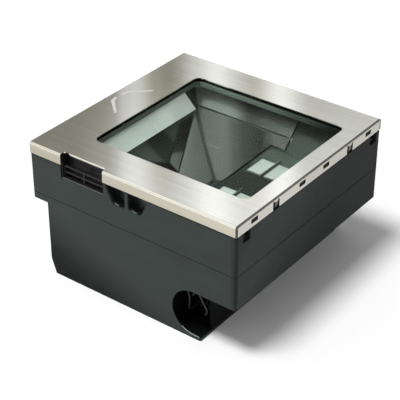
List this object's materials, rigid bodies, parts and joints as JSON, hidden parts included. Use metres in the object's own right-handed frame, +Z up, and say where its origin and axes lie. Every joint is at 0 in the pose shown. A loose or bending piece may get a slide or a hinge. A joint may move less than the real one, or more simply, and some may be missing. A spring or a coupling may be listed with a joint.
{
  "type": "in-counter barcode scanner",
  "caption": "Flat in-counter checkout reader: stainless platter with a window over folded mirrors, dark two-part housing with drain spouts and a cable bay.",
  "frame": {"origin": "on the underside of the lower housing, below the middle of the platter", "axes": "+X towards the side with the cable bay, +Y from the front flange with the finger pocket to the rear, +Z up"},
  "size_m": [0.292, 0.29, 0.172],
  "materials": {
    "platter_steel": "stainless steel brushed lengthwise, satin",
    "frame_steel": "stainless steel, fine satin",
    "housing_plastic": "moulded dark grey-green plastic, very fine spark grain",
    "spout_plastic": "black plastic, semi-gloss",
    "seal_rubber": "black foam or rubber, matt",
    "window_glass": "clear coated glass, slightly green at the edge",
    "light_pipe": "pale translucent plastic, polished",
    "tub_plastic": "black plastic, matt inside",
    "mirror_glass": "front-silvered mirror, faintly green",
    "circuit_board": "green solder resist",
    "lamp_diffuser": "pale diffusing plastic",
    "lamp_fin": "pale plastic edge",
    "led_white": "small moulded lamps",
    "camera_plastic": "black plastic, matt",
    "lens_glass": "coated lens",
    "shield_steel": "tinned sheet, satin",
    "sink_aluminium": "extruded, satin",
    "can_metal": "sleeved aluminium can",
    "zinc_steel": "bright zinc plate",
    "socket_steel": "tinned shell",
    "plug_plastic": "dark plastic",
    "lead_rubber": "black flexible jacket"
  },
  "bodies": {
    "root": {"board_screws": "zinc_steel", "camera_barrel": "camera_plastic", "camera_board": "circuit_board", "camera_lens": "lens_glass", "camera_mount": "camera_plastic", "capacitors": "can_metal", "deck_screws": "zinc_steel", "drain_spouts": "spout_plastic", "finger_pocket": "spout_plastic", "front_left_mirror": "mirror_glass", "front_mirror": "mirror_glass", "front_strip_mirror": "mirror_glass", "front_upper_mirror": "mirror_glass", "heat_sink": "sink_aluminium", "housing_gasket": "seal_rubber", "housing_screws_left": "zinc_steel", "housing_screws_right": "zinc_steel", "indicator_board": "circuit_board", "indicator_leds": "led_white", "lamp_board_front": "circuit_board", "lamp_board_rear": "circuit_board", "lamp_diffuser_front": "lamp_diffuser", "lamp_diffuser_rear": "lamp_diffuser", "lamp_fin_front": "lamp_fin", "lamp_fin_rear": "lamp_fin", "lead_grommet": "seal_rubber", "lead_left": "lead_rubber", "lead_middle": "lead_rubber", "lead_plugs": "plug_plastic", "lead_right": "lead_rubber", "light_pipe_front": "light_pipe", "light_pipe_rear": "light_pipe", "long_mirror": "mirror_glass", "lower_housing": "housing_plastic", "main_board": "circuit_board", "optics_tub": "tub_plastic", "platter": "platter_steel", "platter_frame": "frame_steel", "platter_gasket": "seal_rubber", "port_board": "circuit_board", "port_sockets": "socket_steel", "rear_left_mirror": "mirror_glass", "rear_mirror": "mirror_glass", "rear_strip_mirror": "mirror_glass", "rear_upper_mirror": "mirror_glass", "shield_can": "shield_steel", "speaker": "camera_plastic", "tub_screws": "zinc_steel", "upper_housing": "housing_plastic", "window_frame": "housing_plastic", "window_gasket": "seal_rubber", "window_glass": "window_glass"}
  },
  "joints": []
}
